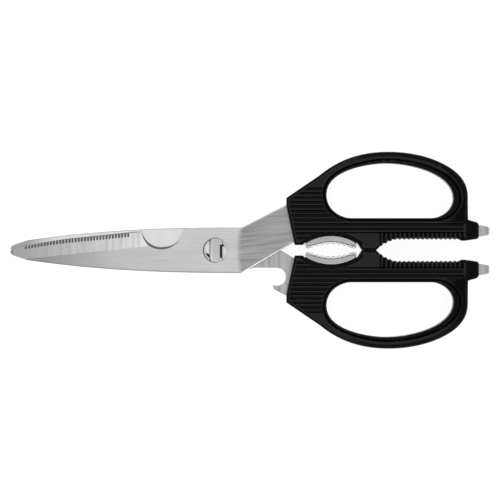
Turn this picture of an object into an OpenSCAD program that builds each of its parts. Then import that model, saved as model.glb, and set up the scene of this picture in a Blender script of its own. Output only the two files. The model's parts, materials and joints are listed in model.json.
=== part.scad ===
// Take-apart kitchen and poultry shears with moulded handles.
// Built about the pivot, with X towards the handles and Z = 0 on the plane where the blades meet.
// The rear half is the front half's pattern turned over about X, with its own cuts.

/* [Blades] */
// Length of each blade from the pivot to its point
blade_len = 98.3; // [80:0.1:125]
// Width of each blade at the pivot
blade_w = 21.8; // [19:0.1:27]
// Thickness of each blade
blade_t = 2.6; // [2.2:0.1:3.4]
// Gap left between the two blades
blade_gap = 0.1; // [0.06:0.01:0.15]
// How much a blade's back falls towards the centre line by the point
back_drop = 7.4; // [5:0.1:8]
// Step down from the back of one blade to the edge of the other
edge_step = 0.9; // [0.4:0.1:1.5]
// Further step of the edge gained by the point
edge_taper = 2.2; // [1:0.1:2.4]
// Thickness left along the cutting edge
edge_t = 0.4; // [0.2:0.05:0.8]
// Distance from the centre line to the grind line under the notch
grind_y = 2.3; // [0:0.1:4]
// Slope of the grind line against the centre line
grind_slope = 5.9; // [4:0.1:8]
// Width of the hollow-ground band
grind_w = 7.3; // [6:0.1:9]

/* [Shanks] */
// Distance from the pivot to the bend of the shank
heel_x = 12.3; // [10:0.1:16]
// Bend of the shank away from the blade
shank_angle = 29; // [24:0.5:33]
// Width of the shank where it enters the handle
shank_w = 17.3; // [15:0.1:20]
// Chamfer along the shank's edges
edge_break = 0.5; // [0.2:0.1:0.8]
// Depth to which the full shank goes into the handle
seat_depth = 1.6; // [1:0.1:2.5]
// Width of the tang inside the handle
tang_w = 11.6; // [9:0.1:13]
// Length of the tang beyond the full shank
tang_l = 9.6; // [7:0.1:10.5]
// Radius of the tang's corners
tang_end_r = 2.5; // [1:0.1:4]
// Radius of the hole that locks the tang in the moulding
lock_r = 2.4; // [1.5:0.1:3]

/* [Serrations and bone notch] */
// Distance from the pivot to the centre of the bone notch
notch_x = 25; // [22:0.1:32]
// Radius of the bone notch
notch_r = 9.9; // [7:0.1:10.5]
// Width of steel left under the bone notch
notch_web = 12.5; // [11:0.1:15]
// Widest part of the bevel round the bone notch
notch_bevel = 1.5; // [0.8:0.1:2]
// Pitch of the serrations
tooth_pitch = 1.48; // [1.2:0.01:2]
// Radius of each serration
tooth_r = 0.6; // [0.4:0.05:0.7]
// Plain edge left between the last serration and the point
plain_tip = 7.5; // [5:0.1:12]
// Plain edge left between the bone notch and the first serration
plain_heel = 7; // [3:0.1:12]

/* [Pivot] */
// Radius of the round eye in the front blade
eye_r = 5.75; // [5:0.05:6.5]
// Steel left under the eye
eye_web = 1.3; // [1:0.1:1.6]
// Radius of the stud's journal
journal_r = 3.1; // [2.5:0.05:3.6]
// Width of the bar on top of the stud's head
bar_w = 3.8; // [3:0.1:4.5]
// Height of the head above the front blade
head_proud = 0.3; // [0.1:0.05:0.6]
// Radius of the riveted tail
tail_r = 2.5; // [2:0.05:2.8]
// Running clearance of the pivot
run_gap = 0.05; // [0.03:0.01:0.08]
// Opening angle at which the halves lift apart
release_angle = 115; // [105:1:120]

/* [Bottle opener] */
// Radius of the opener's hollow
hook_r = 4.3; // [3.5:0.1:4.5]
// Steel between the hollow and the handle
hook_wall = 2; // [1.5:0.1:3]
// Length of the slot in front of the hollow
hook_slot = 11.4; // [9:0.1:12]

/* [Handles] */
// Distance from the pivot to the front of the handles
handle_x = 33.6; // [31:0.1:40]
// Length of the handles
handle_l = 86.6; // [78:0.1:105]
// Height of each handle above the centre line
handle_h = 47; // [44:0.1:57]
// Thickness of the handles
handle_t = 13; // [11.5:0.1:16]
// Chamfer round the handles
handle_break = 1.5; // [1:0.1:2]
// How far the front edge leans back towards the centre line
front_rake = 4; // [2:0.1:5]
// Height of the front corner above the centre line
nose_h = 25; // [23.5:0.1:27]
// Height of the handle's foot above the centre line
foot_h = 2.5; // [2.2:0.1:3]
// Height of the gripping edge behind the stops
bar_y = 5.1; // [4.6:0.1:7]
// Plastic in front of the finger hole
front_wall = 19.1; // [18:0.1:24]
// Plastic behind the finger hole
end_wall = 6.5; // [5:0.1:9]
// Plastic above the finger hole
top_wall = 5.1; // [4.5:0.1:7]
// Plastic between the finger hole and the gripping edge
bar_wall = 10.2; // [9.5:0.1:13]
// Pitch of the ridges that grip a jar lid
grip_pitch = 2.19; // [1.8:0.01:3]
// Radius of the hollows between those ridges
grip_r = 0.7; // [0.5:0.05:0.85]
// How far those hollows' centres lie outside the gripping edge
grip_sink = 0.25; // [0.1:0.05:0.45]

/* [Stops] */
// Distance from the centre of the nutcracker to the centre of the stops
stop_x = 18.1; // [17.5:0.1:21]
// Length of the stops
stop_l = 6.8; // [5:0.1:7.5]
// Gap between the stops when the shears are shut
stop_gap = 0.1; // [0.05:0.05:0.3]

/* [Nutcracker jaws] */
// Distance from the pivot to the centre of the jaws
jaw_x = 54.9; // [53:0.1:60]
// Length of the jaws
jaw_l = 24.6; // [22:0.1:26]
// Height of a jaw's ends above the centre line
jaw_end_h = 3.5; // [3:0.1:4]
// Height of a jaw's crown above the centre line
jaw_crown_h = 7.1; // [6.5:0.1:7.6]
// Height of the middle teeth above the centre line
jaw_mouth_h = 2.9; // [2.2:0.1:3.2]
// Height of the end lobes above the centre line
jaw_lobe_h = 0.8; // [0.4:0.1:1.2]
// Thickness of the jaws
jaw_t = 10.4; // [8:0.1:11]
// Thickness of the toothed fringe
fringe_t = 8.4; // [6:0.1:8.6]
// Height of the toothed fringe
fringe_h = 1.6; // [1:0.1:1.8]
// Pitch of the jaw's teeth
jaw_pitch = 2.6; // [2:0.1:3.2]
// Radius of the hollows between the jaw's teeth
jaw_tooth_r = 0.85; // [0.6:0.05:0.95]
// Distance from the middle of a jaw to each of its keys
key_x = 5.6; // [4.5:0.1:6.5]
// Radius of the round head of each key
key_r = 1.9; // [1.4:0.1:2]
// Thickness of the keys
key_t = 5; // [3:0.1:6]

/* [Driver bits] */
// Height of the bits above the centre line
bit_y = 9.2; // [8.8:0.1:10]
// Length of the end boss that holds a bit
boss_l = 5.2; // [4:0.1:7]
// Thickness of the end boss
boss_t = 10.6; // [9:0.1:11]
// Height of the end boss at its tip
boss_h = 7.8; // [7:0.1:8.4]
// Width of a bit at the boss
bit_w = 5.8; // [5:0.1:6]
// Thickness of a bit at the boss
bit_t = 4.2; // [3:0.1:5]
// Width of a bit at its tip
bit_tip_w = 3.8; // [3:0.1:4.5]
// Length of a bit outside the boss
bit_l = 5.4; // [4:0.1:8]
// Thickness of a bit's tip
bit_tip_t = 1; // [0.6:0.1:1.5]
// Radius of the bit's shank inside the boss
bit_shank_r = 2.2; // [1.8:0.1:2.4]
// Length of the bit's shank inside the boss
bit_shank_l = 15; // [10:0.5:18]

/* [Hidden] */
$fn = 96;
over = 0.5;
curve_steps = 12;
back_steps = 22;
mould_gap = 0.03;
steel_dark = "darkgray";
steel_light = "silver";
plastic = [0.1, 0.1, 0.11];

face_z = blade_gap / 2;
top_z = face_z + blade_t;
handle_end = handle_x + handle_l;
boss_end = handle_end + boss_l;
bit_end = boss_end + bit_l;
notch_left = -notch_x - notch_r;
notch_y = notch_r - blade_w / 2 + notch_web;
edge_end = -notch_x + notch_r;
grind_tilt = asin((blade_t - edge_t) / grind_w);
nose = [handle_x, nose_h];
stop_mid = jaw_x + stop_x;
stop_end = stop_mid + stop_l / 2;
key_y = (jaw_crown_h + bar_y + bar_wall) / 2 - 1.7;
key_neck = key_r * 1.3;

// Point at a share t of the way along a cubic that leaves p towards c and reaches q from c
function cubic(p, c, q, k, m, t) =
    pow(1 - t, 3) * p + 3 * pow(1 - t, 2) * t * (p + k * (c - p))
    + 3 * (1 - t) * t * t * (q + m * (c - q)) + pow(t, 3) * q;

// Rounded corner from p to q about the corner c, without its last point
function corner(p, c, q, k, m) = [for (i = [0 : curve_steps - 1]) cubic(p, c, q, k, m, i / curve_steps)];

// Arc from one x to another on a circle of radius r that is centred on [cx, cy], upper side
function arc_y(x, cx, cy, r) = cy + sqrt(r * r - pow(x - cx, 2));

// Radius of the circle through the ends of a chord and a rise above its middle
function chord_r(chord, rise) = (pow(chord / 2, 2) + rise * rise) / (2 * rise);

// Where the line from p to q meets the line from a to b
function meet(p, q, a, b) =
    let (u = q - p, v = b - a, w = a - p, k = (w.x * v.y - w.y * v.x) / (u.x * v.y - u.y * v.x))
    p + k * u;

// Distance of a blade's back from the centre line
function back_y(x) = blade_w / 2 - back_drop * pow(max(0, heel_x - x) / (heel_x + blade_len), 2.4);

// Distance of a blade's edge from the centre line, on the other side
function edge_y(x) =
    back_y(x) - edge_step - edge_taper * pow(max(0, notch_left - x) / (blade_len + notch_left), 2);

// Point on the shank, along and across its own direction
function on_shank(u, v) = [
    heel_x + u * cos(shank_angle) - v * sin(shank_angle),
    u * sin(shank_angle) + v * cos(shank_angle)
];

// Point on the handle's front edge at a height above the centre line
function front_at(y) = [handle_x + front_rake * max(0, nose_h - 4 - y) / (nose_h - 4 - foot_h), y];

jaw_r = chord_r(jaw_l, jaw_crown_h - jaw_end_h);
jaw_cy = jaw_crown_h - jaw_r;
mouth_r = chord_r(jaw_l, jaw_mouth_h - jaw_lobe_h);
mouth_cy = jaw_mouth_h - mouth_r;
arch_x = jaw_l / 2 + 0.3;

// The full shank ends on a line inside the handle, parallel to the handle's front edge
seat_low = front_at(foot_h) + [seat_depth, 0];
seat_high = front_at(nose_h - 4) + [seat_depth, 0];
shank_low = meet([heel_x, -blade_w / 2], on_shank(30, -shank_w / 2), seat_low, seat_high);
shank_high = meet([heel_x, blade_w / 2], on_shank(30, shank_w / 2), seat_low, seat_high);
shank_mid = (shank_low + shank_high) / 2;

// Point on the tang, along and across the shank's direction from the middle of the shank's end
function on_tang(u, v) = shank_mid + [
    u * cos(shank_angle) - v * sin(shank_angle),
    u * sin(shank_angle) + v * cos(shank_angle)
];

// Rounded end of the tang, from its low side to its high side
tang_end = [
    for (side = [-1, 1], a = [0 : 15 : 90])
        let (turn = side < 0 ? a - 90 : a, mid = tang_w / 2 - tang_end_r)
        on_tang(tang_l - tang_end_r + tang_end_r * cos(turn), side * mid + tang_end_r * sin(turn))
];
tang_low = meet(on_tang(0, -tang_w / 2), on_tang(1, -tang_w / 2), seat_low, seat_high);
tang_high = meet(on_tang(0, tang_w / 2), on_tang(1, tang_w / 2), seat_low, seat_high);
shank_end = concat([shank_low, tang_low], tang_end, [tang_high, shank_high]);

// Everything stands with the handles' backs at z = 0, centred on its length
module placed() {
    translate([(blade_len - bit_end) / 2, 0, handle_t / 2]) children();
}

module turned_over() {
    rotate([180, 0, 0]) children();
}

// ---- Blades ----

module blade_outline() {
    point_x = -blade_len;
    edge_tip_x = point_x + 5;
    // The back runs straight from the shoulder to the snout, then turns round the point
    shoulder = [point_x + 8.5, -back_y(point_x + 8.5)];
    snout = shoulder + [-6.1, 1.9];
    back_step = (shoulder.x - heel_x) / back_steps;
    edge_step_x = (edge_end - edge_tip_x) / back_steps;
    polygon(concat(
        [for (i = [0 : back_steps]) [heel_x + i * back_step, -back_y(heel_x + i * back_step)]],
        corner(snout, [point_x, snout.y + 0.75], [point_x, -0.5], 0.6, 0.6),
        [[point_x, -0.5], [point_x + 0.6, 0]],
        [for (i = [0 : back_steps]) [edge_tip_x + i * edge_step_x, edge_y(edge_tip_x + i * edge_step_x)]],
        [[edge_end + 2 * edge_step, back_y(edge_end + 2 * edge_step)], [heel_x, blade_w / 2]],
        [for (i = [len(shank_end) - 1 : -1 : 0]) shank_end[i]]
    ));
}

module lock_hole(r) {
    translate(on_tang(tang_l / 2, 0)) circle(r);
}

// Chamfer on the outer face along the straight edge from p to q
module edge_chamfer(p, q) {
    run = q - p;
    side = edge_break * sqrt(2);
    translate([p.x, p.y, top_z]) rotate([0, 0, atan2(run.y, run.x)]) rotate([45, 0, 0])
        translate([0, -side / 2, -side / 2]) cube([norm(run) + 1, side, side]);
}

// Flat grind that thins the blade from the grind line to the cutting edge, as far as end_x
module grind(end_x) {
    // Slope at which the grinding wheel runs out at the heel
    run_out = 35;
    depth = 6;
    reach = blade_len + end_x + 12;
    translate([end_x, grind_y + (end_x + notch_x) * tan(grind_slope), top_z])
        rotate([0, 0, grind_slope]) rotate([-grind_tilt, 0, 0]) rotate([90, 0, 0])
            translate([0, 0, -3 * grind_w]) linear_extrude(3 * grind_w)
                polygon([[-reach, 0], [0, 0], [depth / tan(run_out), depth], [-reach, depth]]);
}

module blade_blank(grind_end) {
    difference() {
        translate([0, 0, face_z]) linear_extrude(blade_t) blade_outline();
        translate([0, 0, face_z - over]) linear_extrude(blade_t + 2 * over) lock_hole(lock_r);
        grind(grind_end);
        edge_chamfer([heel_x, -blade_w / 2], shank_low);
        edge_chamfer([heel_x, blade_w / 2], shank_high);
    }
}

module bone_notch() {
    lean = 0.3 * notch_bevel;
    translate([-notch_x, notch_y, 0]) cylinder(h = top_z + over, r = notch_r);
    translate([-notch_x - lean, notch_y - lean, face_z])
        cylinder(h = blade_t + over, r1 = notch_r - lean, r2 = notch_r + notch_bevel * 0.7);
}

module serrations() {
    first_x = notch_left - plain_heel;
    last_x = -blade_len + plain_tip;
    count = floor((first_x - last_x) / tooth_pitch);
    // Each serration is a round groove that leaves the ground face after its run
    run = 2.3;
    tilt = grind_tilt + atan(edge_t * 1.15 / run);
    for (i = [0 : count]) {
        x = first_x - i * tooth_pitch;
        slope = atan(edge_y(x + 0.5) - edge_y(x - 0.5));
        translate([x, edge_y(x), face_z]) rotate([0, 0, slope]) rotate([90 - tilt, 0, 0])
            translate([0, tooth_r - 0.05, -3]) cylinder(h = 3 + 2 * run, r = tooth_r, $fn = 24);
    }
}

module double_d(r, half_w, h) {
    intersection() {
        cylinder(h = h, r = r);
        translate([-half_w, -r - 1, -1]) cube([2 * half_w, 2 * r + 2, h + 2]);
    }
}

module front_blade() {
    placed() color(steel_light) difference() {
        blade_blank(-notch_x - 0.3 * notch_r);
        bone_notch();
        serrations();
        translate([0, 0, face_z + eye_web]) cylinder(h = blade_t, r = eye_r);
        rotate([0, 0, -release_angle]) translate([0, 0, -over])
            double_d(eye_r, journal_r + run_gap, blade_t + 2 * over);
    }
}

// The hollow takes a crown cap, and the lip beyond it lifts the cap's edge
module bottle_opener() {
    // Centre of the hollow, set off from the handle's front edge
    centre_y = 12.7;
    centre_x = front_at(centre_y).x - hook_wall - hook_r;
    slot_x = centre_x - hook_slot;
    slot_y = centre_y - hook_r;
    lip = [centre_x + hook_r * cos(119), centre_y + hook_r * sin(119)];
    translate([0, 0, -over]) linear_extrude(top_z + 2 * over) polygon([
        [heel_x - 1.5, blade_w / 2], [slot_x, slot_y], [centre_x, slot_y], [centre_x, centre_y],
        lip, lip + [0.7, 2], lip + [-3, 6], [heel_x - 1.5, blade_w]
    ]);
    translate([centre_x, centre_y, -over]) cylinder(h = top_z + 2 * over, r = hook_r);
}

module rear_blade() {
    placed() turned_over() color(steel_light) difference() {
        blade_blank(edge_end - 1);
        bottle_opener();
        translate([0, 0, -over]) cylinder(h = blade_t + 2 * over, r = tail_r + mould_gap);
        rivet_sink(mould_gap);
    }
}

// ---- Pivot ----

// Countersink that the tail is spread into, on the rear blade's outer face
module rivet_sink(gap) {
    sink = 0.9;
    translate([0, 0, top_z - sink]) cylinder(h = sink, r1 = tail_r + gap, r2 = tail_r + sink + gap);
}

module pivot_stud() {
    head_z = face_z + eye_web + run_gap;
    head_h = top_z + head_proud - head_z;
    side = atan((journal_r - bar_w / 2) / (head_h - 0.4));
    placed() color(steel_dark) union() {
        difference() {
            translate([0, 0, head_z]) double_d(eye_r - run_gap, journal_r, head_h);
            for (turn = [0, 180])
                rotate([0, 0, turn]) translate([journal_r, 0, head_z + 0.4]) rotate([0, -side, 0])
                    translate([0, -eye_r, -1]) cube([eye_r, 2 * eye_r, 2 * head_h + 2]);
        }
        translate([0, 0, -face_z + mould_gap]) cylinder(h = head_z + face_z - mould_gap + 0.1, r = journal_r);
        turned_over() {
            cylinder(h = top_z, r = tail_r);
            rivet_sink(0);
        }
    }
}

// ---- Handles ----

module finger_hole() {
    x0 = handle_x + front_wall;
    x1 = handle_end - end_wall;
    y0 = bar_y + bar_wall;
    y1 = handle_h - top_wall;
    // The crown of the hole and the ends of its flat floor
    crown = [x0 + 0.47 * (x1 - x0), y1];
    left = [x0, y0 + 0.43 * (y1 - y0)];
    right = [x1, y0 + 0.36 * (y1 - y0)];
    floor_a = [x0 + 0.19 * (x1 - x0), y0];
    floor_b = [x1 - 0.18 * (x1 - x0), y0];
    polygon(concat(
        corner(floor_a, [x0, y0], left, 0.3, 0.74),
        corner(left, [x0, y1], crown, 0.78, 0.3),
        corner(crown, [x1, y1], right, 0.38, 0.7),
        corner(right, [x1, y0], floor_b, 0.54, 0.54),
        [floor_b]
    ));
}

// A convex outline made into a slab of thickness t with every edge chamfered
module chamfered(t) {
    hull() {
        translate([0, 0, handle_break - t / 2]) linear_extrude(t - 2 * handle_break) children();
        translate([0, 0, -t / 2]) linear_extrude(t) offset(delta = -handle_break) children();
    }
}

// The loop round the finger hole, down to the gripping edge
module loop_outline() {
    // The brow is where the straight front slope turns into the top
    brow = nose + [0.18 * handle_l, 0.48 * (handle_h - nose_h)];
    crown = [handle_x + 0.56 * handle_l, handle_h];
    rump = [handle_end - 0.085 * handle_l, handle_h - 8.3];
    tail = [handle_end, handle_h - 22];
    polygon(concat(
        [front_at(bar_y), front_at(nose_h - 4), nose],
        corner(brow, [brow.x + 14, handle_h], crown, 0.5, 0.86),
        corner(crown, [rump.x - 12.2, handle_h], rump, 0.62, 0.68),
        corner(rump, [handle_end, rump.y - 5.4], tail, 0.8, 0.62),
        [tail, [handle_end, bar_y]]
    ));
}

// The stop that meets the other handle's stop, beside the jaw
module stop_outline() {
    root_y = bar_y + 2 * handle_break;
    polygon([
        [stop_mid - stop_l / 2, stop_gap / 2], [stop_end, stop_gap / 2], [stop_end + 1.2 * root_y, root_y],
        [jaw_x, root_y], [jaw_x + arch_x, jaw_end_h]
    ]);
}

// The foot in front of the jaw
module foot_outline() {
    root_y = bar_y + 2 * handle_break;
    polygon([
        front_at(foot_h), [jaw_x - arch_x - 0.8, foot_h], [jaw_x - arch_x, jaw_end_h],
        [jaw_x, root_y], front_at(root_y)
    ]);
}

// The end boss that holds the driver bit
module boss_outline() {
    low = bit_y - boss_h / 2;
    high = bit_y + boss_h / 2;
    polygon([
        [handle_end - 10, bar_y], [handle_end - 2, bar_y - 0.6], [boss_end - 1, low], [boss_end, low + 0.6],
        [boss_end, high - 0.6], [boss_end - 1, high + 0.3], [handle_end - 0.5, high + 1.6],
        [handle_end - 10, high + 1.6]
    ]);
}

// The finger hole with flared rims
module finger_hole_cut() {
    translate([0, 0, -handle_t / 2 - over]) linear_extrude(handle_t + 2 * over) finger_hole();
    for (flip = [0, 1])
        mirror([0, 0, flip]) hull() {
            translate([0, 0, handle_t / 2 - handle_break]) linear_extrude(0.01) finger_hole();
            translate([0, 0, handle_t / 2]) linear_extrude(0.01) offset(delta = handle_break) finger_hole();
        }
}

// Hollows between the ridges along the gripping edge
module jar_grip() {
    first_x = stop_end + 1.2 * bar_y + 0.8;
    last_x = handle_end - 3;
    count = floor((last_x - first_x) / grip_pitch);
    for (i = [0 : count])
        translate([first_x + i * grip_pitch, bar_y - grip_sink, -handle_t / 2 - over])
            cylinder(h = handle_t + 2 * over, r = grip_r, $fn = 24);
}

module tang_pocket() {
    difference() {
        translate([0, 0, face_z - mould_gap])
            linear_extrude(blade_t + 2 * mould_gap) offset(delta = mould_gap)
                polygon(concat([[heel_x, -blade_w / 2]], shank_end, [[heel_x, blade_w / 2]]));
        translate([0, 0, -over]) linear_extrude(handle_t) lock_hole(lock_r - mould_gap);
    }
}

module jaw_seat() {
    intersection() {
        translate([jaw_x, jaw_cy, -handle_t / 2 - over])
            cylinder(h = handle_t + 2 * over, r = jaw_r + mould_gap, $fn = 180);
        translate([jaw_x - arch_x, 0, -handle_t]) cube([2 * arch_x, jaw_crown_h + 1, 2 * handle_t]);
    }
}

module handle() {
    color(plastic) difference() {
        union() {
            chamfered(handle_t) loop_outline();
            chamfered(handle_t) stop_outline();
            chamfered(handle_t) foot_outline();
            chamfered(boss_t) boss_outline();
        }
        finger_hole_cut();
        jaw_seat();
        tang_pocket();
        jaw_keys(mould_gap);
        bit_shank(mould_gap);
        jar_grip();
    }
}

module upper_handle() {
    placed() handle();
}

module lower_handle() {
    placed() turned_over() handle();
}

// ---- Nutcracker jaws ----

module jaw_keys(gap) {
    for (side = [-1, 1]) translate([jaw_x + side * key_x, 0, -key_t / 2 - gap]) {
        translate([0, key_y, 0]) cylinder(h = key_t + 2 * gap, r = key_r + gap);
        translate([-key_neck / 2 - gap, jaw_end_h, 0])
            cube([key_neck + 2 * gap, key_y - jaw_end_h, key_t + 2 * gap]);
    }
}

// Slab of the jaw between its seat and a line rise above the mouth
module jaw_slab(t, rise) {
    difference() {
        intersection() {
            translate([jaw_x, jaw_cy, -t / 2]) cylinder(h = t, r = jaw_r, $fn = 180);
            translate([jaw_x - jaw_l / 2, 0, -t / 2]) cube([jaw_l, jaw_crown_h, t]);
        }
        translate([jaw_x, mouth_cy, -t / 2 - over]) cylinder(h = t + 2 * over, r = mouth_r + rise, $fn = 180);
    }
}

module nut_jaw() {
    count = floor((jaw_l / 2 - 1.5) / jaw_pitch);
    color(steel_light) difference() {
        union() {
            jaw_slab(jaw_t, fringe_h);
            jaw_slab(fringe_t, 0);
            intersection() {
                jaw_keys(0);
                translate([0, 0, -jaw_t / 2]) cube([2 * jaw_x, 2 * handle_h, jaw_t]);
            }
        }
        for (i = [-count : count]) {
            x = jaw_x + i * jaw_pitch;
            translate([x, arc_y(x, jaw_x, mouth_cy, mouth_r), -jaw_t / 2 - over])
                cylinder(h = jaw_t + 2 * over, r = jaw_tooth_r, $fn = 24);
        }
    }
}

module upper_nut_jaw() {
    placed() nut_jaw();
}

module lower_nut_jaw() {
    placed() turned_over() nut_jaw();
}

// ---- Driver bits ----

module bit_shank(gap) {
    translate([boss_end - bit_shank_l - gap, bit_y, 0]) rotate([0, 90, 0])
        cylinder(h = bit_shank_l + gap + over, r = bit_shank_r + gap);
}

module driver_bit() {
    start = boss_end + mould_gap;
    end = bit_end;
    color(steel_dark) union() {
        bit_shank(0);
        translate([0, bit_y, 0]) intersection() {
            translate([0, 0, -bit_w / 2]) linear_extrude(bit_w) polygon([
                [start, -bit_w / 2], [end - 0.5, -bit_tip_w / 2], [end, -bit_tip_w / 2 + 0.5],
                [end, bit_tip_w / 2 - 0.5], [end - 0.5, bit_tip_w / 2], [start, bit_w / 2]
            ]);
            translate([0, bit_w / 2, 0]) rotate([90, 0, 0]) linear_extrude(bit_w) polygon([
                [start, -bit_t / 2], [end, -bit_tip_t / 2], [end, bit_tip_t / 2], [start, bit_t / 2]
            ]);
        }
    }
}

module upper_driver_bit() {
    placed() driver_bit();
}

module lower_driver_bit() {
    placed() turned_over() driver_bit();
}

rear_blade();
pivot_stud();
lower_handle();
lower_nut_jaw();
lower_driver_bit();
front_blade();
upper_handle();
upper_nut_jaw();
upper_driver_bit();
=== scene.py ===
"""Poultry shears: the looks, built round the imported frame.

Shapes are worked out in millimetres about the pivot, with X towards the handles, Y up and Z = 0
where the blades meet. The rear half is the same pattern turned over about X.
"""

import json
import math

import bpy
import numpy as np
from mathutils import Matrix, Vector


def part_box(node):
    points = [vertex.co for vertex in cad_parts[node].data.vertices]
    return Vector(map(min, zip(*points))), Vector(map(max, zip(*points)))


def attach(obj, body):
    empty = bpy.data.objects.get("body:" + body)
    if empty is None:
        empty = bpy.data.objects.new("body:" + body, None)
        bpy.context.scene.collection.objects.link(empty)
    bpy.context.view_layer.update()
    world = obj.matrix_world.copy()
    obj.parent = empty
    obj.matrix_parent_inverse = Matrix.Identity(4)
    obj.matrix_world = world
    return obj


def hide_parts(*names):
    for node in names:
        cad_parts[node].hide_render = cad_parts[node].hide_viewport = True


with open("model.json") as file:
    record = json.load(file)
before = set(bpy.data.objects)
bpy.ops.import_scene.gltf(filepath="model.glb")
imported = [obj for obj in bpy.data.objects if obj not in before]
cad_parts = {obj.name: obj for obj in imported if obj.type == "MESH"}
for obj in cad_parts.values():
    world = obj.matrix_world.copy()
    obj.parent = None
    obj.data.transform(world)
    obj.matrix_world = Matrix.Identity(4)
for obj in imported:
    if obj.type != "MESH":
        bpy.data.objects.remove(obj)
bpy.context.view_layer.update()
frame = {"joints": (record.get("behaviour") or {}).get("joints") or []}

MM = 0.001
PIVOT = Vector(frame["joints"][0]["pos_m"])
FRONT = Matrix.Translation(PIVOT)
REAR = FRONT @ Matrix.Rotation(math.pi, 4, "X")


def node_span(node):
    """Lowest and highest corner of a CAD node, in mm about the pivot."""
    lo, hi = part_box(node)
    return (lo - PIVOT) / MM, (hi - PIVOT) / MM


handle_lo, handle_hi = node_span("upper_handle")
blade_lo, blade_hi = node_span("front_blade")
jaw_lo, jaw_hi = node_span("upper_nut_jaw")
bit_lo, bit_hi = node_span("upper_driver_bit")
stud_lo, stud_hi = node_span("pivot_stud")

# ---- Sizes of the moulding ----

handle_x = handle_lo.x
handle_h = handle_hi.y
half_t = handle_hi.z
boss_end = handle_hi.x
boss_l = 5.2
handle_end = boss_end - boss_l
handle_l = handle_end - handle_x
front_rake = 4
nose_h = 25
rake_top = nose_h - 4
foot_h = 2.5
bar_y = 5.1
front_wall, end_wall, top_wall, bar_wall = 19.1, 6.5, 5.1, 10.2
stop_x, stop_l, stop_gap = 18.1, 6.8, 0.004
grip_pitch = 2.19
rib_pitch, rib_top, ribs = 2.13, 29.9, 12
boss_half_h, boss_half_t = 3.9, 5.3
blade_t = blade_hi.z - blade_lo.z
seat_gap = 0.06

# ---- Sizes of the jaws and bits ----

jaw_x = (jaw_lo.x + jaw_hi.x) / 2
jaw_l = jaw_hi.x - jaw_lo.x
jaw_end_h, jaw_crown_h, jaw_mouth_h, jaw_lobe_h = 3.5, 7.1, 2.9, 0.8
jaw_half_t = jaw_hi.z
fringe_half_t = 4.2
key_x, key_y, key_r, key_neck, key_half_t = 5.6, 9.5, 1.9, 1.24, 2.5
bit_y = (bit_lo.y + bit_hi.y) / 2
bit_end = bit_hi.x - 0.02
bit_shank_l, bit_shank_r = 15, 2.2

# ---- Sizes of the blades and the stud ----

blade_w = 2 * 10.9
blade_tip = blade_lo.x + 0.02
back_fall, back_power = 7.4, 2.4
notch_x, notch_r = -25, 9.9
notch_y = notch_r - blade_w / 2 + 12.5
tooth_pitch = 1.48
tooth_r = 0.47
heel_x = 12.3
heel_bow = 0.012
shank_angle = math.radians(29)
shank_w = 17.3
tang_w, tang_l, lock_r = 11.6, 9.6, 2.4
ground_w, edge_t = 7.3, 0.4
eye_r, eye_depth = 5.75, 1.3
keyway_w, keyway_turn = 6.3, math.radians(-115)
journal_r, tail_r, sink_h = 3.1, 2.5, 0.9


# ---- Meshes from fields ----


def smooth(low, high, x):
    """0 below low, 1 above high and an S between them."""
    t = np.clip((x - low) / (high - low), 0, 1)
    return t * t * (3 - 2 * t)


def soft_max(a, b, k):
    """The larger of two fields, with their meeting rounded over k mm."""
    h = np.maximum(k - np.abs(a - b), 0) / k
    return np.maximum(a, b) + h * h * k / 4


def soft_min(a, b, k):
    """The smaller of two fields, with their meeting rounded over k mm."""
    return -soft_max(-a, -b, k)


def slab(d, z, half, r):
    """A plate of so much half thickness about Z = 0 with edges rounded to r.

    d is the distance outside its outline.
    """
    a, b = d + r, np.abs(z) - half + r
    return np.hypot(np.maximum(a, 0), np.maximum(b, 0)) + np.minimum(np.maximum(a, b), 0) - r


def cubic_corner(p, c, q, k, m, steps=14):
    """Rounded corner from p to q about the corner c, without its last point."""
    p, c, q = np.array(p, float), np.array(c, float), np.array(q, float)
    a, b = p + k * (c - p), q + m * (c - q)
    t = np.arange(steps)[:, None] / steps
    return (1 - t) ** 3 * p + 3 * (1 - t) ** 2 * t * a + 3 * (1 - t) * t * t * b + t**3 * q


def arc(cx, cy, r, start, end, steps=24):
    """Points of an arc, with its angles in radians."""
    a = np.linspace(start, end, steps)
    return np.stack([cx + r * np.cos(a), cy + r * np.sin(a)], 1)


def chord_r(chord, rise):
    """Radius of the arc over a chord with so much rise."""
    return ((chord / 2) ** 2 + rise**2) / (2 * rise)


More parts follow.
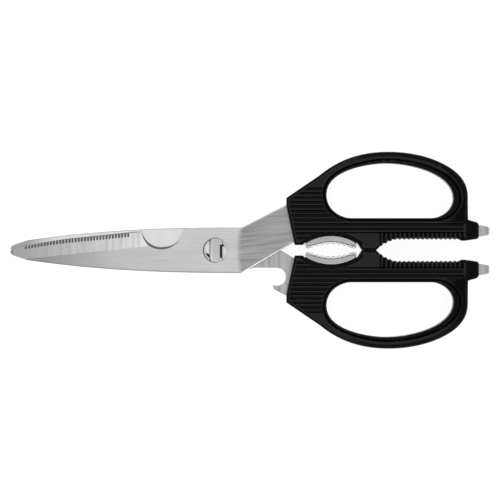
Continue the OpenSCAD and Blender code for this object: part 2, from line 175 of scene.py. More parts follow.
class Outline:
    """Signed distance in mm to a closed outline, negative inside, kept on a fine grid."""

    def __init__(self, *parts, pad=4.0, step=0.16, soften=0):
        points = np.concatenate([np.atleast_2d(np.array(p, float)) for p in parts])
        self.step = step
        self.low = points.min(0) - pad
        count = np.ceil((points.max(0) + pad - self.low) / step).astype(int) + 1
        axes = [self.low[k] + step * np.arange(count[k]) for k in (0, 1)]
        gx, gy = np.meshgrid(*axes, indexing="ij")
        nearest = np.full(gx.shape, np.inf)
        inside = np.zeros(gx.shape, bool)
        for a, b in zip(points, np.roll(points, -1, 0)):
            run = b - a
            if run @ run < 1e-12:
                continue
            t = np.clip(((gx - a[0]) * run[0] + (gy - a[1]) * run[1]) / (run @ run), 0, 1)
            nearest = np.minimum(nearest, np.hypot(gx - a[0] - t * run[0], gy - a[1] - t * run[1]))
            if a[1] != b[1]:
                crosses = (a[1] > gy) != (b[1] > gy)
                inside ^= crosses & (gx < a[0] + (gy - a[1]) * run[0] / run[1])
        d = np.where(inside, -nearest, nearest)
        for _ in range(soften):
            d[1:-1] = (d[:-2] + 2 * d[1:-1] + d[2:]) / 4
            d[:, 1:-1] = (d[:, :-2] + 2 * d[:, 1:-1] + d[:, 2:]) / 4
        self.d = d

    def __call__(self, x, y):
        u = np.clip((x - self.low[0]) / self.step, 0, self.d.shape[0] - 1.001)
        v = np.clip((y - self.low[1]) / self.step, 0, self.d.shape[1] - 1.001)
        i, j = u.astype(int), v.astype(int)
        u, v = u - i, v - j
        return (
            self.d[i, j] * (1 - u) * (1 - v)
            + self.d[i + 1, j] * u * (1 - v)
            + self.d[i, j + 1] * (1 - u) * v
            + self.d[i + 1, j + 1] * u * v
        )


def slope_of(field, p, reach=0.02):
    """Unit slope of a field at scattered points."""
    g = np.empty_like(p)
    for k in range(3):
        step = np.zeros(3)
        step[k] = reach
        g[:, k] = field(*(p + step).T) - field(*(p - step).T)
    return g / np.maximum(np.linalg.norm(g, axis=1, keepdims=True), 1e-9)


def surface(field, low, high, step):
    """Vertices and quads of a field's zero surface, by dual contouring, with sharp creases."""
    low, step = np.array(low, float), np.array(step, float)
    count = np.ceil((np.array(high, float) - low) / step).astype(int) + 1
    axes = [low[k] + step[k] * np.arange(count[k]) for k in range(3)]
    value = field(*np.meshgrid(*axes, indexing="ij"))
    inside = value < 0
    cells, rows, quads = [], [], []
    stride = np.array([count[1] * count[2], count[2], 1])
    for k in range(3):
        take = [slice(None)] * 3
        low_side, high_side = list(take), list(take)
        low_side[k], high_side[k] = slice(0, -1), slice(1, None)
        crossing = inside[tuple(low_side)] != inside[tuple(high_side)]
        at = np.argwhere(crossing)
        v0 = value[tuple(low_side)][crossing]
        v1 = value[tuple(high_side)][crossing]
        t = v0 / (v0 - v1)
        start = low + at * step
        point = start.copy()
        point[:, k] += t * step[k]
        # One regula falsi step brings the crossing onto curved surfaces
        vm = field(*point.T)
        same = (vm < 0) == (v0 < 0)
        ta, va = np.where(same, t, 0), np.where(same, vm, v0)
        tb, vb = np.where(same, 1, t), np.where(same, v1, vm)
        t = np.where(np.abs(vb - va) > 1e-12, ta + (tb - ta) * va / (va - vb + 1e-30), t)
        point[:, k] = start[:, k] + np.clip(t, 0, 1) * step[k]
        normal = slope_of(field, point)
        i, j = [(1, 2), (2, 0), (0, 1)][k]
        around = []
        for di, dj in ((0, 0), (-1, 0), (-1, -1), (0, -1)):
            cell = at.copy()
            cell[:, i] += di
            cell[:, j] += dj
            around.append(cell @ stride)
            cells.append(around[-1])
            rows.append(np.concatenate([normal, point], 1))
        quad = np.stack(around, 1)
        flip = v0 > 0
        quad[flip] = quad[flip][:, ::-1]
        quads.append(quad)
    cells, rows, quads = np.concatenate(cells), np.concatenate(rows), np.concatenate(quads)
    used, index = np.unique(cells, return_inverse=True)
    n, p = rows[:, :3], rows[:, 3:]

    def total(w):
        return np.bincount(index, w, len(used))

    amount = total(np.ones(len(index)))
    mean = np.stack([total(p[:, k]) for k in range(3)], 1) / amount[:, None]
    a = np.empty((len(used), 3, 3))
    b = np.empty((len(used), 3))
    offset = (n * (p - mean[index])).sum(1)
    for r in range(3):
        b[:, r] = total(n[:, r] * offset)
        for c in range(3):
            a[:, r, c] = total(n[:, r] * n[:, c])
    pull = 0.03  # keeps a vertex near the middle of its crossings where the surface is flat
    a += pull * amount[:, None, None] * np.eye(3)
    vertex = mean + np.linalg.solve(a, b[:, :, None])[:, :, 0]
    corner = low + np.stack(np.unravel_index(used, count), 1) * step
    vertex = np.clip(vertex, corner, corner + step)
    return vertex, np.searchsorted(used, quads)


def mesh_object(name, vertices, faces, place, sharp=35):
    """A mesh object from points in mm about the pivot, put at its place in the frame."""
    mesh = bpy.data.meshes.new(name)
    mesh.from_pydata((np.asarray(vertices) * MM).tolist(), [], np.asarray(faces).tolist())
    mesh.update()
    mesh.shade_smooth()
    mesh.set_sharp_from_angle(angle=math.radians(sharp))
    o = bpy.data.objects.new(name, mesh)
    bpy.context.scene.collection.objects.link(o)
    o.matrix_world = place
    return o


def twin(o, name, place):
    """Another object with the same mesh."""
    copy = bpy.data.objects.new(name, o.data)
    bpy.context.scene.collection.objects.link(copy)
    copy.matrix_world = place
    return copy


def dress(o, body, node, slot, *materials):
    """Puts a piece on its body, in its node's place, with its materials. The slot is not used."""
    for m in materials:
        o.data.materials.append(m)
    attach(o, body)
    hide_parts(node)


def face_arrays(mesh):
    """Middle of each face in mm, and its normal."""
    n = len(mesh.polygons)
    middle, normal = np.empty(3 * n), np.empty(3 * n)
    mesh.polygons.foreach_get("center", middle)
    mesh.polygons.foreach_get("normal", normal)
    return middle.reshape(-1, 3) / MM, normal.reshape(-1, 3)


# ---- Handles ----


def front_at(y):
    """Point of the moulding's raked front at a height."""
    return [handle_x + front_rake * max(0, rake_top - y) / (rake_top - foot_h), y]


jaw_r = chord_r(jaw_l, jaw_crown_h - jaw_end_h)
jaw_cy = jaw_crown_h - jaw_r
arch_x = jaw_l / 2 + 0.3
stop_mid = jaw_x + stop_x
stop_end = stop_mid + stop_l / 2


def shank_end():
    """Points round the shank's end and tang from the low side up, and its lock hole's middle."""
    along = np.array([math.cos(shank_angle), math.sin(shank_angle)])
    across = np.array([-along[1], along[0]])
    inset, shoulder = [1.6, 0], 1.8

    def shank_edge(start_y, v):
        """Where the shank's edge meets the line that it ends on inside the handle."""
        p = np.array([heel_x, start_y])
        u = np.array([heel_x, 0]) + 30 * along + v * across - p
        a = np.array(front_at(foot_h)) + inset
        w = np.array(front_at(rake_top)) + inset - a
        k = ((a - p)[0] * w[1] - (a - p)[1] * w[0]) / (u[0] * w[1] - u[1] * w[0])
        return p + k * u

    low, high = shank_edge(-blade_w / 2, -shank_w / 2), shank_edge(blade_w / 2, shank_w / 2)
    mid = (low + high) / 2
    corners = ((-1, 0), (-1, tang_l), (1, tang_l), (1, shoulder))
    sides = [mid + u * along + s * tang_w / 2 * across for s, u in corners]
    return np.array([low, *sides, high]), mid + tang_l / 2 * along


def handle_outline():
    """The moulding from its foot over the brow, crown and rump to the grip, stop and jaw seat."""
    brow = [handle_x + 0.18 * handle_l, nose_h + 0.48 * (handle_h - nose_h)]
    crown = [handle_x + 0.56 * handle_l, handle_h]
    rump = [handle_end - 0.085 * handle_l, handle_h - 8.3]
    tail = [handle_end, handle_h - 22]
    stop_corner = [stop_end, stop_gap / 2]
    reach = math.asin(arch_x / (jaw_r + seat_gap))
    return Outline(
        [front_at(foot_h), front_at(rake_top), [handle_x, nose_h]],
        cubic_corner(brow, [brow[0] + 14, handle_h], crown, 0.5, 0.86),
        cubic_corner(crown, [rump[0] - 12.2, handle_h], rump, 0.62, 0.68),
        cubic_corner(rump, [handle_end, rump[1] - 5.4], tail, 0.8, 0.62),
        [tail, [handle_end, bar_y]],
        cubic_corner([stop_end + 10.5, bar_y], [stop_end + 5, bar_y], stop_corner, 0.7, 0.25),
        [stop_corner, [stop_mid - stop_l / 2, stop_gap / 2]],
        arc(jaw_x, jaw_cy, jaw_r + seat_gap, math.pi / 2 - reach, math.pi / 2 + reach),
        [[jaw_x - arch_x - 0.8, foot_h]],
        soften=3,
    )


def hole_outline(left, right, low, high):
    """The finger hole, grown by so much on each side."""
    x0, x1 = handle_x + front_wall - left, handle_end - end_wall + right
    y0, y1 = bar_y + bar_wall - low, handle_h - top_wall + high
    w, h = x1 - x0, y1 - y0
    crown, a, b = [x0 + 0.47 * w, y1], [x0, y0 + 0.43 * h], [x1, y0 + 0.36 * h]
    floor_a, floor_b = [x0 + 0.19 * w, y0], [x1 - 0.18 * w, y0]
    return Outline(
        cubic_corner(floor_a, [x0, y0], a, 0.3, 0.74),
        cubic_corner(a, [x0, y1], crown, 0.78, 0.3),
        cubic_corner(crown, [x1, y1], b, 0.38, 0.7),
        cubic_corner(b, [x1, y0], floor_b, 0.54, 0.54),
        [floor_b],
    )


def boss_outline():
    """The boss at the moulding's end, which holds a bit."""
    low, high = bit_y - boss_half_h, bit_y + boss_half_h
    return Outline(
        [[handle_end - 10, bar_y + 2], [handle_end - 4, bar_y + 0.2]],
        [[handle_end - 3.1, bar_y - 0.6], [handle_end - 1.6, bar_y - 0.6]],
        [[boss_end - 1, low], [boss_end, low + 0.6]],
        [[boss_end, high - 0.6], [boss_end - 1, high + 0.3]],
        [[handle_end - 0.5, high + 1.6], [handle_end - 10, high + 1.6]],
        soften=3,
    )


def edge_round(x, y):
    """Radius of the outer edges: crisp in front, rounder over the loop and along the grip."""
    crisp, over_loop, past_loop, limit, at_grip = 1.1, 1.7, 1.0, 2.7, 0.9
    r = crisp + over_loop * smooth(46, 72, x) * smooth(27, 38, y)
    r = r + past_loop * smooth(112, 118, x) * smooth(14, 24, y)
    r = np.minimum(r, limit)
    along_grip = smooth(stop_end - 0.5, stop_end + 3, x) * smooth(122, 119, x)
    return r + at_grip * along_grip * smooth(10, 7, y)


def rib_depth(x, y, d_out, d_crease):
    """Depth of the ribs in front of the hole and below it, each undercut on its low side."""
    groove, ledge = 0.52, 0.2
    phase = (rib_top + 0.4 - y) / rib_pitch
    t = (phase - np.floor(phase)) * rib_pitch
    sunk = groove * smooth(0.2, 0.48, t) - ledge * smooth(0.5, 0.9, t)
    sunk = sunk - (groove - ledge) * smooth(1.7, rib_pitch, t)
    in_rows = smooth(-0.25, -0.1, phase) * smooth(ribs - 0.1, ribs - 0.25, phase)
    panel = smooth(1.3, 1.7, -d_out) * smooth(0.5, 1.0, d_crease) * in_rows
    panel = panel * (1 - smooth(8.3, 7.7, y) * smooth(jaw_x + 4, jaw_x + 5, x))
    panel = panel * (1 - smooth(13.6, 14.0, y) * smooth(60, 64, x)) * (1 - smooth(117.5, 118.3, x))
    panel = panel * (1 - smooth(16.5, 18, y) * smooth(90, 92, x))
    return panel * sunk


def face_height(x, y, d_out, d_crease, grip):
    """Height of the moulding's face over its middle plane; grip is 1 between the grip's ridges."""
    end_sink, loop_sink, border_sink, seat_sink = 0.55, 0.4, 0.42, 0.45
    grip_sink, crease_sink, crease_w, lip_sink = 0.7, 0.8, 0.42, 0.5
    # The face sinks a little where the loop meets the end, and falls away outside the hole's ridge
    height = half_t - 0.02 - end_sink * smooth(106, 119, x) * smooth(11, 14, y)
    over_hole = smooth(60, 76, x) * smooth(30, 38, y)
    loop = np.maximum(over_hole, smooth(108, 114, x) * smooth(17, 24, y))
    height = height - loop_sink * loop * smooth(1.1, 2.6, d_crease)
    height = height - border_sink * (1 - loop) * smooth(-1.2, -0.9, d_out)
    # A sunk rim round the jaw's seat
    from_seat = np.hypot(x - jaw_x, y - jaw_cy) - jaw_r
    near_jaw = smooth(jaw_l / 2 + 3, jaw_l / 2 + 2, np.abs(x - jaw_x))
    height = height - seat_sink * smooth(1.9, 1.5, from_seat) * near_jaw
    height = height - rib_depth(x, y, d_out, d_crease)
    height = height - grip_sink * grip
    # The crease round the hole, and the lip inside it
    height = height - crease_sink * np.exp(-((d_crease / crease_w) ** 2))
    return height - lip_sink * smooth(0.2, -0.4, d_crease)


def handle_field():
    outer = handle_outline()
    # The photo's hole is a little smaller than the CAD's at its right and top
    hole = hole_outline(0, -0.4, 0, -0.45)
    crease = hole_outline(1.4, 2.8, 1.1, 1.4)
    boss = boss_outline()
    end, lock = shank_end()
    shank = Outline([heel_x, -blade_w / 2], end, [heel_x, blade_w / 2])

    def field(x, y, z):
        d_out, d_hole, d_crease = outer(x, y), hole(x, y), crease(x, y)
        # Ridges across the gripping edge, which follow its round
        grip = smooth(stop_end + 1, stop_end + 2.4, x) * smooth(8.9, 8.5, y)
        grip = grip * smooth(handle_end - 1.2, handle_end - 2.2, x)
        scallop = 0.5 + 0.5 * np.cos(2 * np.pi * (x - stop_end - 1.5) / grip_pitch)
        height = face_height(x, y, d_out, d_crease, grip * smooth(0.08, 0.45, scallop))
        width = np.maximum(d_hole - d_crease, 0.8)
        body = slab(d_out + 0.5 * grip * scallop, z, height, edge_round(x, y))
        lip = slab(-d_hole, z, height, np.minimum(0.6 * width, 2.0))
        f = soft_max(body, lip, 0.3)
        stub = slab(boss(x, y), z, boss_half_t - 0.16 * np.maximum(x - handle_end, 0), 1.1)
        f = soft_min(f, stub, 0.5)
        # Pockets of the tang, the jaw's keys and the bit's shank
        from_tang = np.abs(z - blade_lo.z - blade_t / 2) - blade_t / 2
        pocket = np.maximum(from_tang, shank(x, y)) - seat_gap
        pocket = np.maximum(pocket, lock_r - 2 * seat_gap - np.hypot(x - lock[0], y - lock[1]))
        f = np.maximum(f, -pocket)
        f = np.maximum(f, -keys_field(x, y, z, seat_gap))
        return np.maximum(f, -bit_shank_field(x, y, z, seat_gap))

    return field


def keys_field(x, y, z, gap):
    """The two keys that hold a jaw in the moulding."""
    side = np.abs(np.abs(x - jaw_x) - key_x)
    head = np.hypot(side, y - key_y) - key_r
    stem = np.maximum(side - key_neck, np.maximum(y - key_y, jaw_end_h - y))
    return np.maximum(np.minimum(head, stem) - gap, np.abs(z) - key_half_t - gap)


def bit_shank_field(x, y, z, gap):
    """The round shank that holds a bit in the moulding."""
    ends = np.maximum(boss_end - bit_shank_l - gap - x, x - boss_end - 1)
    return np.maximum(np.hypot(y - bit_y, z) - bit_shank_r - gap, ends)


def make_handles(plastic):
    # Uneven margins here and below set where the grid's planes fall against flat faces
    points, quads = surface(
        handle_field(),
        [handle_x - 0.63, -0.71, -half_t - 0.57],
        [boss_end + 0.6, handle_h + 0.6, half_t + 0.6],
        [0.4, 0.3, 0.4],
    )
    # Creases may throw a point a few hundredths past the faces, and the stops meet flat
    reach, stop_band = half_t - 0.015, 0.12
    points[:, 2] = np.clip(points[:, 2], -reach, reach)
    points[:, 1] = np.where(points[:, 1] < stop_band, stop_gap / 2, points[:, 1])
    upper = mesh_object("upper_handle_moulding", points, quads, FRONT, sharp=50)
    lower = twin(upper, "lower_handle_moulding", REAR)
    dress(upper, "front_half", "upper_handle", "handle_plastic", plastic)
    dress(lower, "rear_half", "lower_handle", "handle_plastic")


# ---- Nutcracker jaws ----

band_y, band_r = 4.05, chord_r(18.4, 1.9)


def jaw_field():
    mouth_r = chord_r(jaw_l - 3.4, jaw_mouth_h - jaw_lobe_h)
    mouth_cy = jaw_mouth_h - mouth_r
    band_cy = band_y - band_r
    pitch, gullet_r = 2.6, 0.65
    lobe_r, lobe_top = 1.9, 2.65
    block_in, block_r, block_top = 2.0, 1.5, 3.6

    def field(x, y, z):
        d_seat = np.hypot(x - jaw_x, y - jaw_cy) - jaw_r
        d_mouth = mouth_r - np.hypot(x - jaw_x, y - mouth_cy)
        d_band = band_r - np.hypot(x - jaw_x, y - band_cy)
        ends = np.abs(x - jaw_x) - jaw_l / 2
        d_lobe = np.hypot(np.maximum(ends + lobe_r, 0), np.maximum(lobe_top - y, 0)) - lobe_r
        d_block = np.hypot(np.maximum(ends + block_in, 0), np.maximum(block_top - y, 0)) - block_r
        phase = (x - jaw_x) / pitch
        gullet = np.hypot((phase - np.round(phase)) * pitch, d_mouth) - gullet_r
        gullet = np.where(np.abs(x - jaw_x) < jaw_l / 2 - 2.2, gullet, 9)
        plan = soft_max(np.maximum(d_seat, d_lobe), d_mouth, 0.4)
        toothed = soft_max(plan, -gullet, 0.2)
        fringe = slab(toothed, z, fringe_half_t - 0.4 * np.clip(1.4 + d_mouth, 0, 2), 0.2)
        band = slab(soft_max(d_seat, soft_max(d_band, d_block, 0.8), 0.6), z, jaw_half_t, 0.9)
        f = soft_min(fringe, band, 0.2)
        return np.minimum(f, keys_field(x, y, z, 0))

    return field


def make_jaws(materials):
    """Materials: the casting, the toothed fringe's flats and its walls, darker as painted shade
    between the teeth.
    """
    casting, flat, wall = range(3)
    shape = surface(
        jaw_field(),
        [jaw_lo.x - 0.31, jaw_lobe_h - 0.93, -jaw_half_t - 0.33],
        [jaw_hi.x + 0.3, jaw_hi.y + 0.3, jaw_half_t + 0.3],
        [0.17, 0.15, 0.2],
    )
    upper = mesh_object("upper_jaw_casting", *shape, FRONT)
    middle, normal = face_arrays(upper.data)
    x, y, z = middle.T
    past_band = band_r - np.hypot(x - jaw_x, y - band_y + band_r)
    past_end = np.abs(x - jaw_x) + 0.5 - jaw_l / 2
    fringe = (np.maximum(past_band, past_end) > 0) & (np.abs(z) < fringe_half_t + 0.1)
    # Painted shade: the fringe's steep walls take a darker steel than its flats
    index = np.where(fringe, np.where(np.abs(normal[:, 2]) < 0.9, wall, flat), casting)
    upper.data.polygons.foreach_set("material_index", index.astype(np.int32))
    lower = twin(upper, "lower_jaw_casting", REAR)
    dress(upper, "front_half", "upper_nut_jaw", "jaw_steel", *materials)
    dress(lower, "rear_half", "lower_nut_jaw", "jaw_steel")


# ---- Driver bits ----


def bit_field():
    start = boss_end + 0.03
    length = bit_end - start
    half_w, narrowing = 2.9, 1.0
    half_thick, thinning = 2.1, 1.6

    def field(x, y, z):
        u = (x - start) / length
        wide = np.abs(y - bit_y) - (half_w - narrowing * u)
        thick = np.abs(z) - (half_thick - thinning * u)
        ends = np.maximum(x - bit_end, start - x)
        tip = soft_max(soft_max(wide, ends, 1.1), thick, 0.35)
        return np.minimum(tip, bit_shank_field(x, y, z, 0))

    return field


def make_bits(material):
    shape = surface(
        bit_field(),
        [bit_lo.x - 0.21, bit_lo.y - 0.33, bit_lo.z - 0.33],
        [bit_end + 0.2, bit_hi.y + 0.3, bit_hi.z + 0.3],
        [0.15, 0.15, 0.15],
    )
    upper = mesh_object("upper_bit_tip", *shape, FRONT)
    lower = twin(upper, "lower_bit_tip", REAR)
    dress(upper, "front_half", "upper_driver_bit", "bit_steel", material)
    dress(lower, "rear_half", "lower_driver_bit", "bit_steel")


# ---- Blades ----


def back_y(x):
    """Distance of a blade's back from the centre line."""
    share = np.maximum(0, heel_x - x) / (heel_x - blade_tip)
    return blade_w / 2 - back_fall * share**back_power


def edge_y(x):
    """Distance of a blade's edge from the centre line, on the other side."""
    set_back, narrowing = 0.9, 2.2
    notch_end = notch_x - notch_r
    share = np.maximum(0, notch_end - x) / (notch_end - blade_tip)
    return back_y(x) - set_back - narrowing * share**2


def blade_outline(end):
    """A blank from its back round the point to its edge, and round the points of its end."""
    xs = np.linspace(heel_x, blade_tip + 8.5, 26)
    back = np.stack([xs, -back_y(xs)], 1)
    snout = back[-1] + [-6.1, 1.9]
    xs = np.linspace(blade_tip + 5, notch_x + notch_r, 26)
    edge = np.stack([xs, edge_y(xs)], 1)
    step_x = notch_x + notch_r + 1.8
    return Outline(
        back,
        cubic_corner(snout, [blade_tip, snout[1] + 0.75], [blade_tip, -0.5], 0.6, 0.6),
        [[blade_tip, -0.5], [blade_tip + 0.6, 0]],
        edge,
        [[step_x, back_y(step_x)], [heel_x, blade_w / 2]],
        end[::-1],
    )


def opener_cut():
    """Outline of the slot and lip of the bottle opener, and the centre and radius of its hollow."""
    r, cy, lip_angle = 4.3, 12.7, math.radians(119)
    cx = front_at(cy)[0] - 2 - r
    lip = [cx + r * math.cos(lip_angle), cy + r * math.sin(lip_angle)]
    cut = Outline(
        [[heel_x - 1.5, blade_w / 2], [cx - 11.4, cy - r], [cx, cy - r], [cx, cy]],
        [lip, [lip[0] + 0.7, lip[1] + 2], [lip[0] - 3, lip[1] + 6], [heel_x - 1.5, blade_w]],
    )
    return cut, (cx, cy, r)


def grind(front):
    """Functions for the ground band's far edge, and for height above it and distance along it."""
    slope = math.radians(5.9)
    tilt = math.asin((blade_t - edge_t) / ground_w)
    along = (math.cos(slope), math.sin(slope))
    normal = (-math.sin(slope) * math.sin(tilt), math.cos(slope) * math.sin(tilt), math.cos(tilt))
    start_x = notch_x - 0.3 * notch_r if front else notch_x + notch_r - 1
    start_y = 2.3 + (start_x - notch_x) * math.tan(slope)

    def above(x, y, z):
        p = (x - start_x, y - start_y, z - blade_hi.z)
        return sum(c * n for c, n in zip(p, normal)), p[0] * along[0] + p[1] * along[1]

    def ground_end(x):
        """Where the ground band runs out into the inner face."""
        width = blade_t / math.tan(tilt) / math.cos(slope)
        return start_y + (x - start_x) * math.tan(slope) + width

    return ground_end, above


first_tooth = notch_x - notch_r - 7
teeth = math.floor((first_tooth - blade_tip - 7.5) / tooth_pitch)


def serration(x, y, ground_end):
    """Distance outside the nearest serration's round-ended plan, and distance in from the edge."""
    i = np.clip(np.round((first_tooth - x) / tooth_pitch), 0, teeth)
    side = x - first_tooth + i * tooth_pitch
    inward = np.minimum(edge_y(x), ground_end(x) - 0.3) - y
    longest, shortening = 2.3, 0.8
    reach = longest - shortening * (i / teeth) ** 3
    return np.hypot(side, np.maximum(inward - reach + tooth_r, 0)) - tooth_r, inward


def notch_bevel(x, y, z):
    """The bevel round the bone notch, widest at its foot and towards the point."""
    shift_x, shift_y, flare = 1.15, 0.6, 0.46
    out = np.hypot(x - notch_x + shift_x, y - notch_y + shift_y)
    return (notch_r - 0.5 + (z - blade_lo.z) * flare - out) * 0.9


def blade_field(front):
    end, lock = shank_end()
    outline = blade_outline(end)
    cut, (hook_x, hook_y, hook_r) = opener_cut()
    top, low = blade_hi.z, blade_lo.z
    ground_end, above_grind = grind(front)
    chamfer_angle, run_out_angle = 0.6, math.radians(35)
    rear_hole_r = tail_r + 0.03

    def field(x, y, z):
        d = outline(x, y)
        heel = smooth(10.1, 12.0, x - heel_bow * y * y)
        height = top - 0.1 * (1 - heel)
        mid, half = (height + low) / 2, (height - low) / 2
        f = slab(d, z - mid, half, 0.14)
        chamfer = (d + 0.55) * math.sin(chamfer_angle) + (z - top) * math.cos(chamfer_angle)
        f = np.maximum(f, np.where(x > heel_x - 1, chamfer, -1))
        u, run = above_grind(x, y, z)
        run_out = (u - run * math.tan(run_out_angle)) * math.cos(run_out_angle)
        f = np.maximum(f, np.minimum(u, run_out))
        f = np.maximum(f, np.where(run < 0, y - ground_end(x) + 0.3, -1))
        f = np.maximum(f, lock_r - np.hypot(x - lock[0], y - lock[1]))
        rho = np.hypot(x, y)
        if not front:
            f = np.maximum(f, -cut(x, y))
            f = np.maximum(f, hook_r - np.hypot(x - hook_x, y - hook_y))
            sink = rear_hole_r + np.maximum(0, z - top + sink_h)
            return np.maximum(f, sink - rho)
        # Bone notch with its bevel
        f = np.maximum(f, notch_r - np.hypot(x - notch_x, y - notch_y))
        f = np.maximum(f, notch_bevel(x, y, z))
        # Serrations
        groove, inward = serration(x, y, ground_end)
        depth = np.minimum(0.3, 0.06 + 0.22 * np.maximum(inward, 0))
        f = np.maximum(f, np.minimum(-groove, u + depth))
        # Eye with its keyway and broken rim
        f = np.maximum(f, -np.maximum(rho - eye_r, low + eye_depth - z))
        rim = eye_r + 0.2 - np.hypot(x + 0.3, y) + z - height
        f = np.maximum(f, np.where(rho < eye_r + 1, rim * math.sqrt(0.5), -1))
        across = np.abs(x * math.cos(keyway_turn) + y * math.sin(keyway_turn))
        return np.maximum(f, -np.maximum(rho - eye_r, across - keyway_w / 2))

    return field


def make_blade(front, name, body, place, materials):
    """Materials: brushed steel, the ground bevel, a dark steel that paints shade on cut edges and
    walls, and the ground inner face.
    """
    flat, bevel, edge, inner = range(4)
    shape = surface(
        blade_field(front),
        [first_tooth - (teeth + 6) * tooth_pitch, -blade_w / 2 - 0.47, blade_lo.z - 0.26],
        [blade_hi.x + 0.4, blade_hi.y + 0.4, blade_hi.z + 0.3],
        [tooth_pitch / 6, 0.25, 0.29],
    )
    o = mesh_object(name, *shape, place, sharp=28)
    ground_end, above_grind = grind(front)
    middle, normal = face_arrays(o.data)
    x, y, z = middle.T
    nz = normal[:, 2]
    depth = above_grind(x, y, z)[0]
    on_blade = x < notch_x + notch_r
    ground = on_blade & (np.abs(depth) < 0.03) & (nz > 0.9) & (nz < 0.99)
    groove, inward = serration(x, y, ground_end)
    cut = (groove < 0.05) & (inward > -0.1) & (nz > 0.1) & (depth < -0.02)
    wall = np.abs(np.hypot(x - notch_x, y - notch_y) - notch_r) < 0.08
    notch = front & (x < 0) & (wall | (np.abs(notch_bevel(x, y, z)) < 0.05)) & (nz < 0.95)
    rho = np.hypot(x, y)
    eye = front & (rho < eye_r + 0.7) & (z > blade_lo.z + 0.05) & (nz < 0.95)
    # Painted shade: steep walls, the serrations, the notch's wall and bevel and the eye's walls take
    # the dark steel
    index = np.where(nz < 0.3, edge, flat)
    index[ground] = bevel
    index[(front & cut) | notch | eye] = edge
    index[nz < -0.9] = inner
    o.data.polygons.foreach_set("material_index", index.astype(np.int32))
    dress(o, body, "front_blade" if front else "rear_blade", "blade_steel", *materials)


# ---- Pivot stud ----


def stud_field():
    low, top = blade_lo.z, blade_hi.z
    head_z, head_top = low + eye_depth + 0.05, stud_hi.z
    facet_run, facet_rise = 0.66, 0.75
    slot_x, slot_end_x, slot_y, slot_half = 1.85, 3.05, -0.5, 3.1

    def field(x, y, z):
        rho = np.hypot(x, y)
        facet = (-x - journal_r) * facet_run + (z - head_z - 0.35) * facet_rise
        slot = np.minimum(np.minimum(x - slot_x, slot_half - np.abs(y - slot_y)), z - head_z - 0.1)
        step = np.maximum(slot, x - slot_end_x)
        side = np.maximum(np.maximum(facet, -x - journal_r), step)
        head = soft_max(np.maximum(rho - eye_r + 0.05, side), z - head_top, 0.15)
        head = np.maximum(head, head_z - z)
        journal = np.maximum(rho - journal_r, np.maximum(z - head_z - 0.1, -0.02 - z))
        spread = np.maximum(0, -z - top + sink_h)
        tail = np.maximum(rho - tail_r - spread, soft_max(-z - top, z, 0.1))
        return np.minimum(np.minimum(head, journal), tail)

    return field


def make_stud(materials):
    """Materials: the turned head, its slot in near-black painted shadow, and its facet in a lighter
    steel as a painted highlight.
    """
    turned, dark, bright = range(3)
    shape = surface(
        stud_field(),
        [stud_lo.x - 0.21, stud_lo.y - 0.23, stud_lo.z - 0.22],
        [stud_hi.x + 0.2, stud_hi.y + 0.2, stud_hi.z + 0.2],
        [0.12, 0.12, 0.12],
    )
    o = mesh_object("pivot_stud_turned", *shape, FRONT)
    middle, normal = face_arrays(o.data)
    nx, nz = normal[:, 0], normal[:, 2]
    # Painted highlight: steep faces turned towards -X take the light ground steel
    index = np.where((nz < 0.9) & (nx < -0.2), bright, turned)
    in_slot = (nz < 0.9) | (middle[:, 2] < stud_hi.z - 0.3)
    # Painted shadow: the slot beside the bar takes a near-black steel
    index[in_slot & (middle[:, 0] > 1.8) & (middle[:, 2] > blade_lo.z + eye_depth)] = dark
    o.data.polygons.foreach_set("material_index", index.astype(np.int32))
    dress(o, "rear_half", "pivot_stud", "stud_steel", *materials)


# ---- Materials ----

across_x = math.pi / 2


